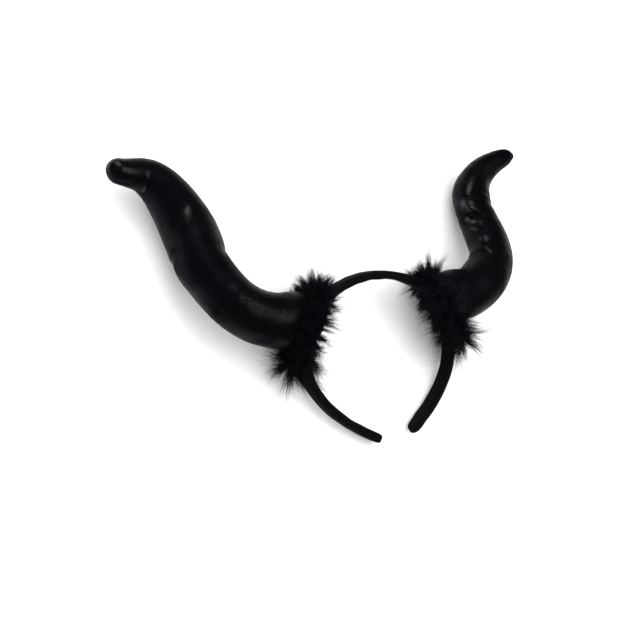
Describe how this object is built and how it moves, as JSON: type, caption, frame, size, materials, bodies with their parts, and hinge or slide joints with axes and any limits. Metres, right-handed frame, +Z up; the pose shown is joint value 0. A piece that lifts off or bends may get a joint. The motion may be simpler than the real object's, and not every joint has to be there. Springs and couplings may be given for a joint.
{
  "type": "horned headband",
  "caption": "Padded headband with stuffed curved horns, each ringed by fluffy down at its root, lying on its back.",
  "frame": {"origin": "on the floor, under the middle of the bounding box", "axes": "+X from the left horn to the right horn as seen from above, +Y from the ends of the band towards the tips of the horns, +Z up from the floor it lies on"},
  "size_m": [0.369, 0.2174, 0.0657],
  "materials": {
    "band_velvet": "black short-pile velvet over a padded strip",
    "horn_vinyl": "black wet-look coated fabric, like soft patent leather, stuffed and softly wrinkled",
    "marabou_down": "black marabou down in loose tufts"
  },
  "bodies": {
    "root": {"headband": "band_velvet", "horn_left": "horn_vinyl", "horn_right": "horn_vinyl", "marabou_left": "marabou_down", "marabou_right": "marabou_down"}
  },
  "joints": []
}
